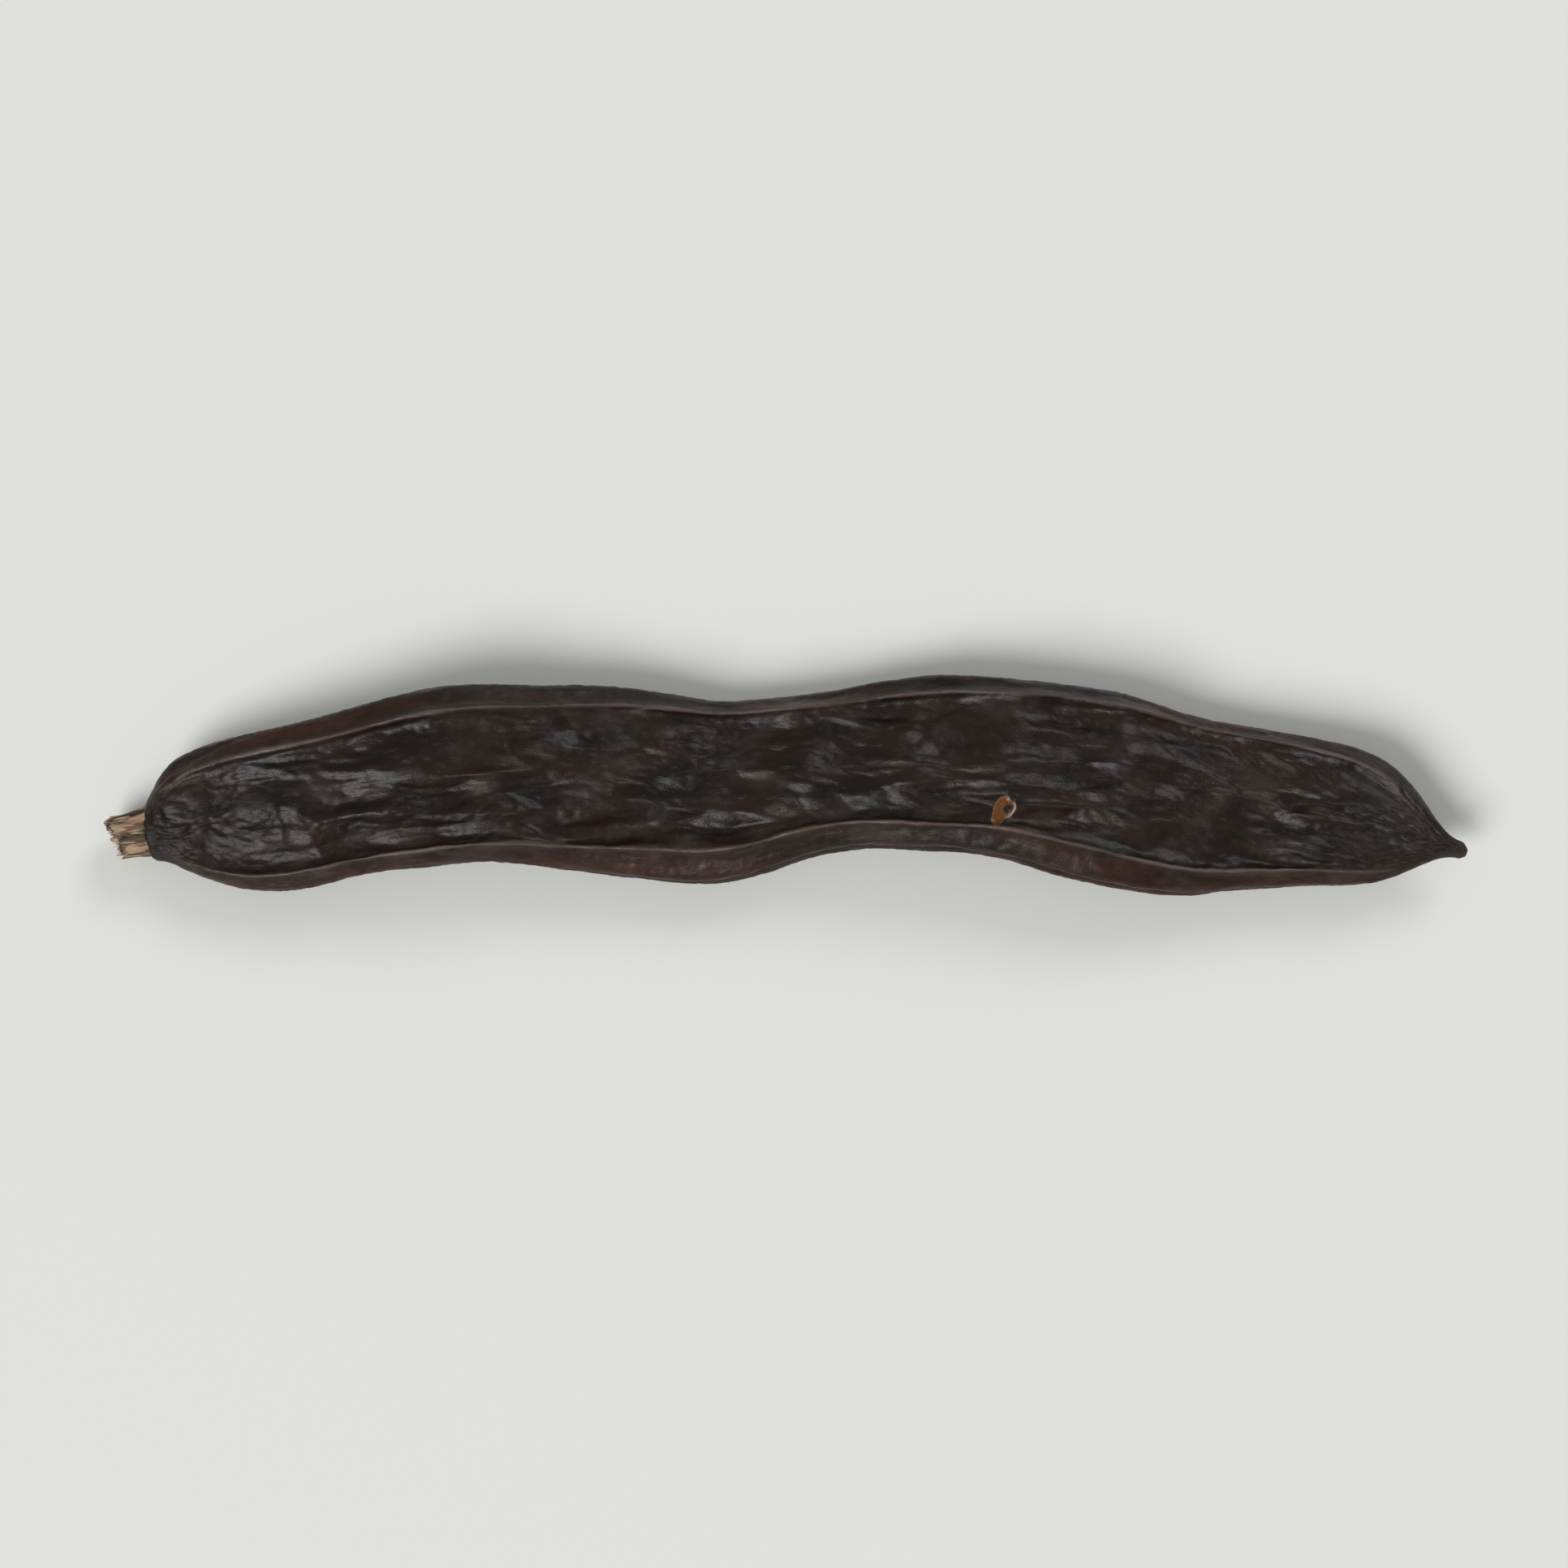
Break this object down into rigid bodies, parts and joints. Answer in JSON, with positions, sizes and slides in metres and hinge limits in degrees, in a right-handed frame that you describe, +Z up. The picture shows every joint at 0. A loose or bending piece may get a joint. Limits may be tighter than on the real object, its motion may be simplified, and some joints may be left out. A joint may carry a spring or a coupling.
{
  "type": "carob pod",
  "caption": "Dried carob pod: a flat, gently bowed and wavy near-black pod with ridged borders, low seed swellings, a pointed beak and a short broken stub of its stalk.",
  "frame": {"origin": "middle of the box that the lying pod fills, on the surface it lies on", "axes": "+X along the pod from the stalk stub to the beak, +Y across it towards the border that bows outwards, +Z up"},
  "size_m": [0.1554, 0.0254, 0.0113],
  "materials": {
    "pod_skin": "dry leathery husk, satin, near-black brown with redder and paler crests",
    "stalk_wood": "matt, dry torn fibres, light tan"
  },
  "bodies": {
    "root": {"pod": "pod_skin", "stalk_stub": "stalk_wood"}
  },
  "joints": []
}
